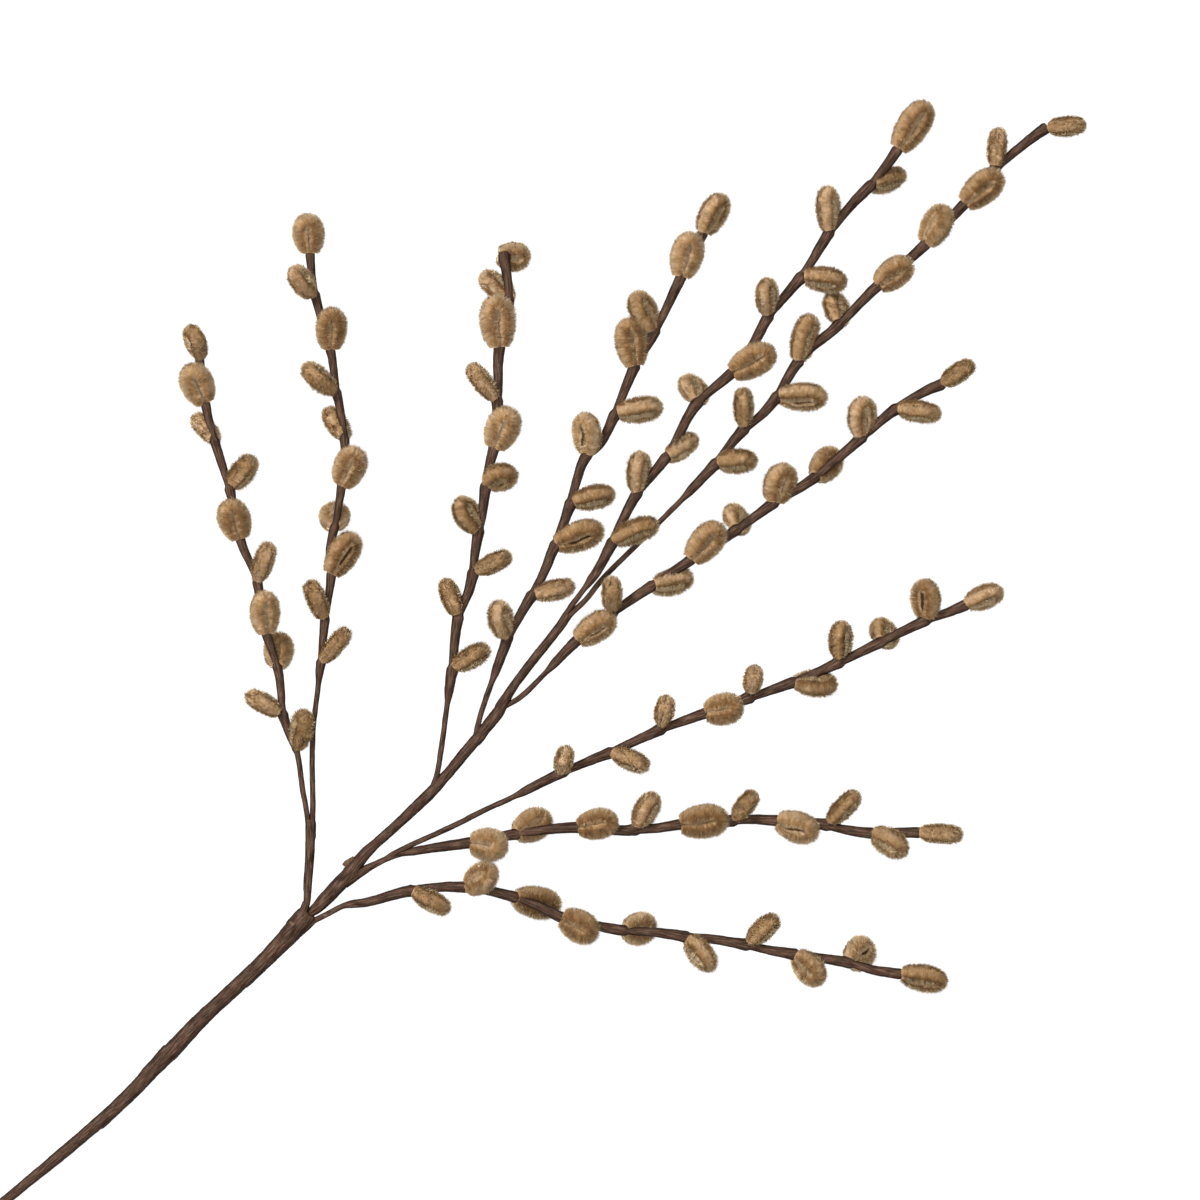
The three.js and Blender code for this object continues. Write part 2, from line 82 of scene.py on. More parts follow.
# Twigs. route: plan grid x, y and, where it is given, the height. wrap: where the second layer of
# tape starts. slim: how much of its full thickness a twig's tape has. catkins, from the tip down:
# foot x, y, tip x, y, rise of the tip over the foot in millimetres, and roll in degrees, positive
# where the left leg is the higher one. Then, where they differ from PLAIN_CATKIN: the girth as a share
# of the full one, the width of the slit between the legs, how far the catkin laps back past its foot,
# and how far it is lowered there.
TWIGS = {
    "twig_a": {
        "wrap": (297, 755), "slim": 0.86,
        "route": [
            (308.4, 832, 17.4), (308, 822), (306, 806, 17.4), (303, 790), (297, 752, 16.5), (290, 735),
            (283, 712, 15.8), (278, 670, 13.9), (265, 628, 15.6), (256, 577, 16.2), (241, 540),
            (230, 490, 17.2), (215, 440), (205, 400, 17.8), (201, 370), (199, 352, 18),
        ],
        "catkins": [
            (200, 358, 194, 327, 12, -68, 0.95, 1.6), (203, 402, 190, 363, 8, 0),
            (213, 441, 195, 414, -13, 80, 0.92), (230, 488, 254, 455, -2, 80, 1.15),
            (240, 537, 229, 498, 7, 0), (259, 580, 270, 541, 4, 85), (267, 632, 264, 589, 5, 25, 0.93),
            (275, 666, 278, 632, -13, 10, 0.88), (283, 713, 246, 692, -2, 88),
            (294, 749, 307, 709, 8, -68),
        ],
    },
    "twig_b": {
        "wrap": (318, 685), "slim": 0.84,
        "route": [
            (312.4, 832, 17.4), (312.6, 822), (313, 806, 17.2), (312, 765, 15.5), (313, 725, 14),
            (318, 685, 15), (325, 620, 18), (331, 575), (330, 548), (337, 515, 18.3), (344, 465),
            (345, 440, 18.3), (341, 412), (336, 385), (331, 350), (320, 312), (313, 280), (310, 250, 19),
        ],
        "catkins": [
            (311, 253, 308, 213, 6, 0, 0.92), (318, 293, 292, 270, 10, 66),
            (331, 348, 333, 306, 5, 10, 0.9), (338, 391, 304, 365, 6, 80, 1.25),
            (341, 438, 328, 407, -12, 76, 0.92), (345, 485, 359, 446, 7, 0, 0.97),
            (339, 527, 333, 503, -15, 0, 0.88), (331, 573, 356, 531, 3, 30, 1, 2.4),
            (327, 618, 309, 579, 3, 90), (327, 662, 349, 627, 2, 90, 0.88),
        ],
    },
    "twig_c": {
        "wrap": (447, 705),
        "route": [
            (421, 801, 17.2), (430, 790, 17.6), (436, 776, 18), (441, 750), (447, 705, 18), (452, 668),
            (458, 618), (470, 585), (476, 545, 18), (482, 515), (487, 475), (495, 440), (498, 395),
            (499, 350), (507, 315), (509, 292, 17.5), (505, 262), (503, 250, 17.5),
        ],
        "catkins": [
            (502, 254, 529.5, 256, -9, 20, 0.83, 0.1, 4, 4), (500, 298, 485, 270, -13, 60),
            (500, 346, 496, 293, 5, 10, 1.13), (494, 400, 469, 363, 2, 80),
            (495, 446, 512, 407, 8, 0, 1.02), (491, 486, 514, 468, 8, 45, 1, 2.0),
            (479, 530, 457, 497, 4, 50), (472, 572, 511, 553, 4, 85), (459, 616, 444, 577, -2, 85),
            (453, 668, 489, 645, 3, 75),
        ],
    },
    "twig_d": {
        "wrap": (491, 683),
        "route": [
            (464, 753, 17.8), (474, 738, 18.2), (481, 712), (491, 683, 18), (503, 650), (510, 632),
            (524, 607), (543, 573, 18), (553, 548), (566, 515), (575, 485), (585, 457, 18), (600, 443),
            (615, 412), (634, 367), (655, 330, 18), (680, 278), (695, 247), (704, 230, 18.5),
        ],
        "catkins": [
            (704, 230, 724, 193, 3, 45, 0.93), (682, 276, 693, 231, 4, 10), (654, 330, 633, 291, 4, 45),
            (637.5, 367, 628, 316, 3, 15), (615, 413, 663, 404.5, 3, 60),
            (590, 457, 586, 411, 6, -36, 0.95, 2.6), (574, 503, 615, 491, 3, 62),
            (553, 543, 604, 526, 2, 30, 1, 2.4), (530, 593, 575, 584, -2, 80),
            (507, 636, 495, 601, 8, 60),
        ],
    },
    "twig_e": {
        "wrap": (583, 590),
        "route": [
            (561, 620, 19.2), (566.3, 611.8, 19.6), (583, 589, 20.5), (597, 570, 21.5), (610, 545, 22),
            (622, 520, 22), (636, 494, 21.5), (655, 470), (670, 450, 21), (695, 405), (735, 368, 19),
            (752, 345), (768, 316, 18.5), (805, 270), (829, 232, 17), (850, 205, 16), (873, 181, 14.6),
            (888, 162, 15.5), (899, 146, 16),
        ],
        "catkins": [
            (901, 147, 929, 100, 2, 25, 1.04, 1.0), (871, 184, 905, 172, -13, 70),
            (828, 230, 827, 184, 2, 60, 0.95), (800, 275, 847, 281, 4, 60),
            (766, 313, 765, 278, 8, 60, 0.92), (725, 365, 775, 348, 4, 10, 1.02),
            (697, 400, 690, 375, -14, 45), (666, 457, 697, 436, -8, 75), (636, 491, 640, 450, 4, 60),
            (610, 540, 657.5, 520, 8, 60),
        ],
    },
    "twig_f": {
        "wrap": (680, 500),
        "route": [
            (565.5, 621, 19.2), (569.8, 614, 19.2), (586, 598, 18.2), (602, 578, 17.2), (635, 545, 16.8),
            (665, 515, 16.8), (685, 495), (718, 459), (740, 432), (765, 410), (780, 390, 17.2),
            (800, 358), (838, 324, 17.2), (876, 286), (918, 250, 17.6), (962, 205), (995, 168),
            (1020, 146), (1047, 125, 18),
        ],
        "catkins": [
            (1048, 125, 1085, 124, 4, 85), (995, 168, 999, 126, -2, 85), (964, 203, 1001, 171, 4, 20),
            (924, 242, 947, 204, 2, -40, 1.03, 1.2), (878, 284, 911, 259, 4, 25, 0.96),
            (838, 323, 836, 291, -12, 50), (799, 360, 811, 312, 2, 50, 0.96, 2.0),
            (777, 395, 828, 396, 2, 45, 1, 2.4), (744, 428, 743, 386, 3, 80), (717, 463, 757, 458, 4, 65),
        ],
    },
    "twig_g": {
        "wrap": (545, 672),
        "route": [
            (492, 719, 18), (502, 707, 18.1), (520, 696, 18.2), (545, 672), (575, 641, 18),
            (612, 612), (655, 582), (690, 559, 18), (733, 531), (775, 501), (812, 478, 18),
            (862, 436), (896, 407), (925, 390), (944, 382, 18.5),
        ],
        "catkins": [
            (944, 384, 973, 361, 4, 85, 0.9), (896, 408, 941, 413, 3, 75),
            (862, 436, 862, 395, 4, 35, 1, 1.8), (814, 475, 839, 449, -11, 10, 0.95),
            (775, 503, 786, 462, 4, 30, 1.04, 1.8), (736, 527, 738, 507, -14, 42, 0.98),
            (688, 554, 722, 522, 4, 20, 1.02), (651, 583, 693, 577, -9, 55), (612, 611, 611, 578, 10, 85),
            (577, 639, 615, 613, 3, 35, 0.93, 2.0),
        ],
    },
    "twig_h": {
        "wrap": (512, 796),
        "route": [
            (384, 857.5, 16.8), (394, 852, 17.3), (412, 843, 17.8), (450, 826), (490, 806),
            (512, 796, 18.2), (560, 772), (612, 750), (661, 728, 18.2), (704, 712), (750, 696),
            (800, 678), (839, 661), (882, 640, 18.2), (926, 619), (950, 610), (968, 602, 18.8),
        ],
        "catkins": [
            (968, 603, 1002, 588, 4, 60, 1, 2.0), (926, 620, 924.5, 577, 3, -32, 0.93, 2.6),
            (886, 650, 889, 623, -13, 20), (839, 659, 841, 619, 3, 60, 0.95),
            (793, 682, 838, 683, -2, -50, 0.95, 1.8), (750, 697, 755, 664, 3, 85, 0.86),
            (704, 710, 743, 703, 4, 0, 0.9), (661, 728, 667, 694, 3, 85, 0.9),
            (613, 757, 649, 765, 5, 75), (564, 770, 564, 750, 12, 75, 0.85),
        ],
    },
    "twig_i": {
        "wrap": (400, 852),
        "route": [
            (338, 884, 15.8), (348, 876, 16), (362, 868, 16.4), (376, 862, 16.7), (395, 854, 17),
            (408, 851, 17.2), (424, 848, 17.5), (450, 844), (470, 841, 18), (507, 834), (540, 829),
            (578, 826, 17.5), (620, 829), (655, 827), (680, 823), (728, 820, 17.5), (750, 818),
            (776, 819), (812, 821), (835, 826), (865, 831), (895, 831), (921, 831, 18),
        ],
        "catkins": [
            (921, 832, 963, 833, 2, 85), (872, 833, 907, 850, 6, 50), (828, 820, 858, 790, 3, 70, 0.93),
            (777, 817, 819, 832, 4, 25, 1, 1.8), (733, 817, 755, 790, 5, 85, 0.9),
            (680, 820, 729, 816, 3, 10, 1.03), (636, 831, 655, 791, 3, 66, 1, 2.2),
            (578, 822, 618, 818, 6, 0, 0.9), (516, 831, 550, 815, -11, 0),
            (470, 839, 508, 845, 6, 0, 0.95),
        ],
    },
    "twig_j": {
        "wrap": (340, 906),
        "route": [
            (299, 932, 15.4), (307, 924, 15.6), (315, 919, 15.6), (325, 914, 15.4), (345, 904, 15.3),
            (366, 901, 15.5), (411, 889, 15.8), (435, 886), (464, 886, 16), (492, 890), (518, 897),
            (540, 905), (562, 916, 16), (605, 926), (622, 929), (655, 931), (686, 935, 16),
            (715, 938), (747, 944), (770, 949), (795, 953), (822, 957), (850, 962, 14.7), (875, 969),
            (903, 973, 16),
        ],
        "catkins": [
            (903, 973, 948, 981, 2, 45), (850, 962, 872, 944, -14, 10, 1, 1.6),
            (795, 952, 823, 981, 5, 40), (748, 940, 777, 914, 4, 75, 1, 1.6),
            (686, 937, 714, 968, 3, 60, 1, 1.6), (625, 925, 655, 927, -13, 10, 1, 2.0),
            (561, 920, 598, 934, 5, 15), (517, 889, 560, 908, -12, 15),
            (465, 888, 497, 867, 8, -35, 1, 1.2), (410, 885, 450, 909, 3, 80, 1, 2.4),
        ],
    },
}

# Edges of tape that show in the outline of the stems: plan points where they start and end, angle
# round the stem (0 left, pi right), height, and the lengths over which they rise and run out, in
# millimetres
STEM_LAPS = {
    "lower_stem": [
        ((139, 1078), (166, 1047), 0.0, 0.55, 3.0, 0.7),
        ((99, 1129), (218, 1017), math.pi, 0.5, 0.7, 14.0),
        ((240, 982), (280, 942), math.pi, 0.3, 0.7, 9.0),
        ((281, 932), (309, 911), 0.3, 0.3, 0.7, 2.0),
        ((288, 925), (309, 911), 0.2, 0.35, 0.7, 2.0),
    ],
    "upper_stem": [
        ((345, 871), (376, 840), 0.0, 0.45, 0.7, 5.0), ((440, 781), (452, 768), 0.3, 0.3, 0.7, 4.0),
        ((474, 741), (486, 727), math.pi, 0.35, 0.7, 4.0), ((500, 708), (509, 695), 0.0, 0.3, 0.7, 3.0),
    ],
    "stem_ab": [((310, 838), (310.3, 820), math.pi, 0.3, 0.7, 0.6)],
}
# Small places where paler paper shows: plan point and reach in millimetres
STEM_FLECKS = {"lower_stem": [(291.5, 921.5, 0.6)]}
TWIG_FLECKS = {"twig_j": [(325.5, 914, 0.5)]}
# Tape that runs on from a stem: the sleeve's up the sides of stem_ab and twig_j, and the upper
# stem's up the side of twig_i. Plan grid x, y, height and radius
STEM_PRONGS = {
    "lower_stem": [
        [(292, 927, 14.6, 2.8), (299, 917, 15.6, 2.5), (303.6, 909, 16.5, 2.0), (306.4, 901, 16.9, 1.78)],
        [(297, 932, 14.6, 2.4), (306, 925, 15.2, 2.1), (313, 919.8, 15.5, 1.5), (320, 916, 15.6, 0.95)],
    ],
    "upper_stem": [[
        (344, 881, 15.7, 2.9), (352, 876, 16.1, 2.6), (361, 870.5, 16.3, 2.15), (371, 865, 16.6, 1.6),
        (384, 858.5, 16.8, 1.35), (396, 853.5, 17, 1.0),
    ]],
}
# A cut end of tape that stands off the upper stem
STEM_FLAP = [(342.2, 863), (344.5, 859.5), (349, 856.8), (353.5, 854.2), (355, 861), (349, 868.5)]
STEM_FLAP_HEIGHT = 17.6
FLAP_THICKNESS = 0.5

# Tape relief. Waves of noise: how many, and their shortest and longest wavelength
TAPE_PITCH = 7.0  # how far one turn of the tape climbs
TAPE_STEP = 0.1  # the step where one turn overlaps the last
TAPE_CRINKLE = 0.02
CRINKLE_WAVES = (14, 1.6, 5)
TAPE_SWELL = 0.05
SWELL_WAVES = (8, 9, 22)
RELIEF_RADIUS = 2.5  # stem radius with the full relief; thinner stems have less
RELIEF_LIMITS = (0.35, 1.2)
LOWEST_POINT = 0.04  # nothing lies nearer to the surface than this
# Red and green tone at the centres of a tube's end caps; the low red gives them the tape's painted side
# shade
CAP_TONE = 0.3
# Tone of the loose flap: a high red, so the painted side shade leaves it light, and some paler paper
FLAP_TONE = (0.9, 0.5, 0.2, 1.0)
TWIG_SIDES = 12
STEM_SIDES = 24
PRONG_SIDES = 16
TWIG_RING_SPACING = 0.7
STEM_RING_SPACING = 0.6

# Loose edges of tape
TWIG_LAP_SPACING = 15
TWIG_LAP_HEIGHT = 0.12
STEM_LAP_SPACING = 24
STEM_LAP_HEIGHT = 0.15
LAP_END_ROOM = 4
LAP_LENGTHS = (5, 16)
LAP_HEIGHT_SPREAD = (0.5, 1.3)
LAP_RISE = 0.7
LAP_FALL_SHARE = 0.6

# The tape's bulge over a catkin's two legs
BULGE_LEAD = 0.5
BULGE_SIZE = 0.9
BULGE_REACH = 2.2

# Random draws start from these, added to SEED
PRONG_SEED = 7
TWIG_SEED = 50
TWIG_LAP_SEED = 70
CATKIN_SEED = 1000

# Chenille loops
PLAIN_CATKIN = (1, 0.1, 0, 0)  # girth, slit, lap and drop of a catkin that gives none
FOOT_START = 0.5  # how far from its foot a catkin starts that lies along the stem
FOOT_OFFSET = 2.5  # how much further one starts that stands out sideways on its edge
BASE_TILT_OFFSET = 3.0  # and how much further one that points up
END_OFFSET = 0.6  # and how much further the one at the end of a twig
WIDTH_SPREAD = (0.98, 1.06)
DEPTH_SPREAD = (0.97, 1.04)
# Along a leg of the loop: the place, the wire's distance from the middle and the pile's radius, as
# shares of the catkin's length, half width and half depth
LEG_SHARES = (0.0, 0.1, 0.2, 0.3, 0.42, 0.55)
LEG_OFFSETS = (0.2, 0.235, 0.275, 0.315, 0.36, 0.385)
LEG_PILE = (0.6, 0.8, 0.91, 0.97, 1.0, 1.0)
CROWN_PILE = 0.95  # pile past the wire at the tip
TIP_THINNING = 0.05
BEND_STEPS = 6
WIRE_STEP = 0.4  # half the length over which the wire's direction is read
LEAST_ROOM = 1.5  # room that the pile of one leg has before it meets the other
GROOVE_SINE = 0.4
SLIT_OPENING = (0.1, 0.25)  # where a slit starts to open and over what share of the catkin's length
SLIT_CLOSING = (0.86, 0.2)  # where it is closed again
SLIT_WANDER = 0.45

# The pile. Its dense heart is a tube round the wire
CORE_SHARE = 0.8  # radius of the heart, as a share of the pile's
CORE_RINGS = 34
CORE_SIDES = 12
CORE_OVERLAP = 0.2  # how far the hearts of the two legs reach into each other
CORE_LUMPS = 0.16
FIBRES_PER_CATKIN = 7400
FIBRE_SURPLUS = 1.5  # fibres tried for each one wanted
HIDDEN_SHARE = 0.88  # fibres that end deeper than this in the other leg's pile don't show
FIBRE_HALF_WIDTH = 0.175
FIBRE_WIDTH_SPREAD = (0.75, 1.25)
FIBRE_TWIST = 1.1  # most that a fibre's flat face turns out of the surface, in radians
FIBRE_ROOT_SHARE = 0.75
FIBRE_REACH = 1.1  # mean end of the fibres, as a share of the pile's radius
FIBRE_LENGTH_SPREAD = 0.1
FIBRE_LENGTH_LIMITS = (-0.2, 0.24)
FIBRE_LUMPS = 0.02
FIBRE_TURN = 0.2  # how far fibres stray round the wire, in radians
FIBRE_COMB = 0.52  # how far fibres lean away from the parting over their wire, in radians
COMB_SPREAD = 0.24
COMB_SWIRL = 0.12
COMB_LIMITS = (-0.1, 0.95)
PARTING_BLUR = 0.15
STRAY_LEAN = 0.5  # how far the ends stray along the wire: in patches, alone and into a tuft
STRAY_ALONG = 0.25
TUFT_GATHER = 0.1
STRAY_ACROSS = 0.15
PRESSED_STRAY = 0.4
TUFT_RISE = 0.02  # how far a tuft stands above its furrows, as a share of the pile's radius
FURROW_SPACING = 1.8  # between the furrows that part the pile into tufts across a chenille stem
FURROW_SWIRL = 3.4
FURROW_LEAN = 2.4
LUMP_WAVES = (10, 2, 6)
LEAN_WAVES = (8, 2.5, 7)
TUFT_WAVES = (20, 1.4, 3)
SLIT_WAVES = (4, 6, 14)

# The tone attribute that the pile's material reads. red: from 0 in the slit to 1 at the fibres' ends,
# which the material turns into painted shade in the slit and deep in the pile, and paler ends. green:
# nearness to the foot. blue: from dark to pale, with painted shade along the parting, in the furrows and
# in the slit, and tone that differs at random
ROOT_DEPTH = 0.15
FOOT_REACH = 0.11  # how much of a catkin is pale at its foot
PILE_SHADE = 0.67
SLIT_SHADE = 0.72
# Painted shadow deep in the slit, on the heart where the legs press together
SLIT_HEART_SHADE = 0.3
# Painted shade along the parting over the wire
PARTING_SHADE = 0.5  # how much darker the parting over the wire is
PARTING_START = 0.84  # how squarely the pile must face up or down for it to start
PARTING_FADE = 0.16
PARTED_SPREAD = (0.45, 1.0)
FIBRE_TONE_SPREAD = 0.09
# Painted shade in the furrows between tufts
FURROW_SHADE = 0.03
LEAN_TONE = 0.1
TUFT_TONE = 0.13
# Pale fibre ends: partly their own paler tips, partly painted light
TIP_SHADE = 0.8
CATKIN_TONE_SPREAD = 0.25
FURROW_SLOPE = 0.07  # how far the shading normals lean with the furrows
FIBRE_NORMAL_SPREAD = 0.26


def on_plan(x, y, height):
    return ((x - GRID_ORIGIN[0]) * GRID_STEP, (GRID_ORIGIN[1] - y) * GRID_STEP, height)


def with_heights(route):
    """Heights that a route leaves out are spaced evenly between the given ones."""
    known = [index for index, point in enumerate(route) if len(point) > 2]
    heights = np.interp(range(len(route)), known, [route[index][2] for index in known])
    return [on_plan(point[0], point[1], height) for point, height in zip(route, heights)]


class Route:
    """A smooth centripetal curve through points, read by distance along it in millimetres."""

    STEPS = 48

    def __init__(self, points):
        knots = np.array(points, float)
        before = 2 * knots[0] - knots[1]
        after = 2 * knots[-1] - knots[-2]
        padded = np.vstack([before, knots, after])
        share = np.linspace(0, 1, self.STEPS, endpoint=False)[:, None]
        pieces = []
        for index in range(len(knots) - 1):
            a, b, c, d = padded[index:index + 4]
            gap_ab, gap_bc, gap_cd = (
                np.linalg.norm(q - p) ** 0.5 for p, q in ((a, b), (b, c), (c, d))
            )
            leave = ((b - a) / gap_ab - (c - a) / (gap_ab + gap_bc) + (c - b) / gap_bc) * gap_bc
            arrive = ((c - b) / gap_bc - (d - b) / (gap_bc + gap_cd) + (d - c) / gap_cd) * gap_bc
            square = -3 * b + 3 * c - 2 * leave - arrive
            cube = 2 * b - 2 * c + leave + arrive
            pieces.append(b + leave * share + square * share**2 + cube * share**3)
        pieces.append(knots[-1:])
        self.points = np.vstack(pieces)
        self.distances = np.concatenate(
            [[0], np.cumsum(np.linalg.norm(np.diff(self.points, axis=0), axis=1))]
        )
        self.length = self.distances[-1]

    def at(self, distance):
        distance = np.atleast_1d(distance)
        return np.stack(
            [np.interp(distance, self.distances, self.points[:, k]) for k in range(3)], axis=1
        )

    def tangent(self, distance, reach=0.4):
        distance = np.atleast_1d(distance)
        ahead = self.at(np.minimum(distance + reach, self.length))
        behind = self.at(np.maximum(distance - reach, 0))
        return unit(ahead - behind)

    def distance_to(self, x, y):
        target = np.array(on_plan(x, y, 0)[:2])
        return self.distances[np.argmin(np.linalg.norm(self.points[:, :2] - target, axis=1))]


def unit(vectors):
    return vectors / np.linalg.norm(vectors, axis=-1, keepdims=True)


def soft_noise(rng, count, lowest, highest):
    """A smooth random field over points, as a sum of waves between two wavelengths."""
    wavelengths = rng.uniform(lowest, highest, count)
    waves = unit(rng.normal(size=(count, 3))) * (2 * math.pi / wavelengths)[:, None]
    phases = rng.uniform(0, 2 * math.pi, count)

    def field(points):
        return np.sin(points @ waves.T + phases).sum(axis=1) / math.sqrt(count)

    return field


def make_mesh(name, vertices, triangles, material, tones, uvs=None, normals=None):
    """A mesh object from arrays in millimetres, with vertex tones and optional corner UVs and normals."""
    mesh = bpy.data.meshes.new(name)
    mesh.vertices.add(len(vertices))
    mesh.vertices.foreach_set("co", (vertices * MM).astype(np.float32).ravel())
    mesh.loops.add(len(triangles) * 3)
    mesh.loops.foreach_set("vertex_index", triangles.astype(np.int32).ravel())
    mesh.polygons.add(len(triangles))
    mesh.polygons.foreach_set("loop_start", np.arange(0, len(triangles) * 3, 3, dtype=np.int32))
    mesh.update(calc_edges=True)
    mesh.shade_smooth()
    if uvs is not None:
        layer = mesh.uv_layers.new(name="wrap")
        layer.data.foreach_set("uv", uvs.astype(np.float32).ravel())
    colours = mesh.color_attributes.new("tone", "FLOAT_COLOR", "POINT")
    colours.data.foreach_set("color", tones.astype(np.float32).ravel())
    if normals is not None:
        mesh.normals_split_custom_set_from_vertices(unit(normals).tolist())
    mesh.materials.append(material)
    piece = bpy.data.objects.new(name, mesh)
    bpy.context.scene.collection.objects.link(piece)
    return piece


def grid_triangles(rings, sides):
    """Triangles of a tube skin of rings by sides, with a fan over each end."""
    ring = np.arange(rings - 1)[:, None] * sides
    side = np.arange(sides)[None, :]
    turn = (side + 1) % sides
    here, here_turn = ring + side, ring + turn
    up, up_turn = here + sides, here_turn + sides
    skin = np.concatenate([
        np.stack([here, here_turn, up_turn], axis=-1).reshape(-1, 3),
        np.stack([here, up_turn, up], axis=-1).reshape(-1, 3),
    ])
    first, last = rings * sides, rings * sides + 1
    low = np.stack([np.full(sides, first), turn[0], side[0]], axis=-1)
    base = (rings - 1) * sides
    high = np.stack([np.full(sides, last), base + side[0], base + turn[0]], axis=-1)
    return np.concatenate([skin, low, high])


def tape_tube(route, distances, radii, sides, seed, bulges=(), laps=(), flecks=()):
    """A taped stem: rings of a wound, lightly crinkled skin, closed at both ends.

    bulges: (distance, direction, size, reach) for the tape over a catkin's two legs.
    laps: (start, end, angle, height, rise, fall) for the edges of tape that show in the outline.
    flecks: (plan x, plan y, reach) for the places where paler paper shows."""
    rng = np.random.default_rng(seed)
    centres = route.at(distances)
    along = route.tangent(distances)
    across = unit(np.stack([-along[:, 1], along[:, 0], np.zeros(len(along))], axis=1))
    upright = np.cross(along, across)
    angles = np.arange(sides) / sides * 2 * math.pi - math.pi / 2
    angle, distance = np.meshgrid(angles, distances)
    outward = (
        across[:, None, :] * np.cos(angle)[..., None] + upright[:, None, :] * np.sin(angle)[..., None]
    )
    wind = distance / TAPE_PITCH + angle / (2 * math.pi) + rng.uniform()
    lap = wind - np.floor(wind)
    relief = TAPE_STEP * (lap - 0.5)
    skin = centres[:, None, :] + outward * radii[:, None, None]
    crinkle = soft_noise(rng, *CRINKLE_WAVES)(skin.reshape(-1, 3)).reshape(skin.shape[:2])
    swell = soft_noise(rng, *SWELL_WAVES)(skin.reshape(-1, 3)).reshape(skin.shape[:2])
    strength = np.clip(radii / RELIEF_RADIUS, *RELIEF_LIMITS)[:, None]
    relief = (relief + crinkle * TAPE_CRINKLE + swell * TAPE_SWELL) * strength
    for start, end, middle, height, rise, fall in laps:
        cover = np.clip((distance - start) / rise, 0, 1) * np.clip((end - distance) / fall, 0, 1)
        relief = relief + height * cover * ease((np.cos(angle - middle) - 0.1) / 0.3)
    vertices = centres[:, None, :] + outward * (radii[:, None] + relief)[..., None]
    for place, direction, size, reach in bulges:
        pull = np.exp(-(((distance - place) / reach) ** 2))[..., None] * size
        facing = np.clip(outward @ direction, 0, 1)[..., None]
        vertices = vertices + direction * pull * facing
    vertices = vertices.reshape(-1, 3)
    vertices = np.vstack([vertices, centres[0], centres[-1]])
    triangles = grid_triangles(len(distances), sides)
    turn_length = 2 * math.pi * radii.mean()
    u = np.append(np.tile(np.arange(sides) / sides, len(distances)), [0.5, 0.5])
    v = np.append(np.repeat(distances, sides), [distances[0], distances[-1]])
    corner_u, corner_v = u[triangles], v[triangles]
    seam = corner_u.max(axis=1) - corner_u.min(axis=1) > 0.5
    corner_u[seam] += (corner_u[seam] < 0.5).astype(float)
    uvs = np.stack([corner_u * turn_length, corner_v], axis=-1)
    tones = np.zeros((len(vertices), 4))
    tones[:, 3] = 1
    # Painted shade: red is how squarely the skin faces up, and the material darkens the tape where it
    # faces sideways or down
    tones[:-2, 0] = np.clip(outward[..., 2].ravel(), 0, 1)
    tones[:-2, 1] = lap.ravel()
    # The centres of the end caps get a low red, so the painted side shade darkens the caps too
    tones[-2:, :2] = CAP_TONE
    for x, y, reach in flecks:
        away = np.linalg.norm(vertices[:, :2] - np.array(on_plan(x, y, 0)[:2]), axis=1) / reach
        tones[:, 2] = np.maximum(tones[:, 2], np.exp(-(away**2)))
    return vertices, triangles, uvs, tones


def random_laps(length, spacing, thickness, seed):
    """Loose edges of tape here and there along a stem: each starts sharply and runs out slowly."""
    rng = np.random.default_rng(seed)
    laps = []
    for start in np.arange(rng.uniform(0, spacing), length - LAP_END_ROOM, spacing):
        reach = rng.uniform(*LAP_LENGTHS)
        height = thickness * rng.uniform(*LAP_HEIGHT_SPREAD)
        angle = rng.uniform(0, 2 * math.pi)
        laps.append((start, start + reach, angle, height, LAP_RISE, reach * LAP_FALL_SHARE))
    return laps


def flap(corners, height, thickness):
    """A loose end of tape: a thin flat plate through plan points."""
    count = len(corners)
    low = np.array([on_plan(x, y, height) for x, y in corners])
    vertices = np.vstack([low, low + (0, 0, thickness)])
    side = np.arange(count)
    turn = (side + 1) % count
    walls = np.concatenate([
        np.stack([side, turn, turn + count], axis=1), np.stack([side, turn + count, side + count], axis=1)
    ])
    fan = np.array([(0, k, k + 1) for k in range(1, count - 1)])
    triangles = np.concatenate([walls, fan + count, fan[:, ::-1]])
    tones = np.tile(FLAP_TONE, (2 * count, 1))
    return vertices, triangles, vertices[triangles][..., :2], tones


def merged(skins):
    """Several skins as one. Each has its vertices, its triangles and two more arrays."""
    starts = np.cumsum([0] + [len(skin[0]) for skin in skins[:-1]])
    triangles = np.vstack([skin[1] + start for skin, start in zip(skins, starts)])
    vertices, third, fourth = (np.vstack([skin[k] for skin in skins]) for k in (0, 2, 3))
    return vertices, triangles, third, fourth


def ease(values):
    values = np.clip(values, 0, 1)
    return values * values * (3 - 2 * values)


def twig_radius(distances, wrap_start, feet, slim):
    """Bare wire, one layer of tape, then a taper that swells towards each catkin's foot and drops past it.

    slim makes the tape of a whole twig thinner."""
    radii = np.full(len(distances), BARE_WIRE_RADIUS)
    radii += (THIN_WRAP_RADIUS - BARE_WIRE_RADIUS) * ease((distances - SOCKET_DEPTH) / WRAP_FLARE)
    thick = np.full(len(distances), WRAP_ABOVE_CATKIN)
    previous = wrap_start
    for foot in feet:
        swell = WRAP_BELOW_CATKIN - WRAP_ABOVE_CATKIN
        inside = (distances >= previous) & (distances < foot)
        share = (distances[inside] - previous) / max(foot - previous, 1)
        thick[inside] = WRAP_ABOVE_CATKIN + swell * share
        past = (distances >= foot) & (distances < foot + BIND_END)
        thick[past] = WRAP_BELOW_CATKIN - swell * ease((distances[past] - foot) / BIND_END)
        previous = foot + BIND_END
    thick = thick * slim
    cover = ease((distances - wrap_start) / SECOND_WRAP_FLARE)
    return radii + (thick - radii) * cover


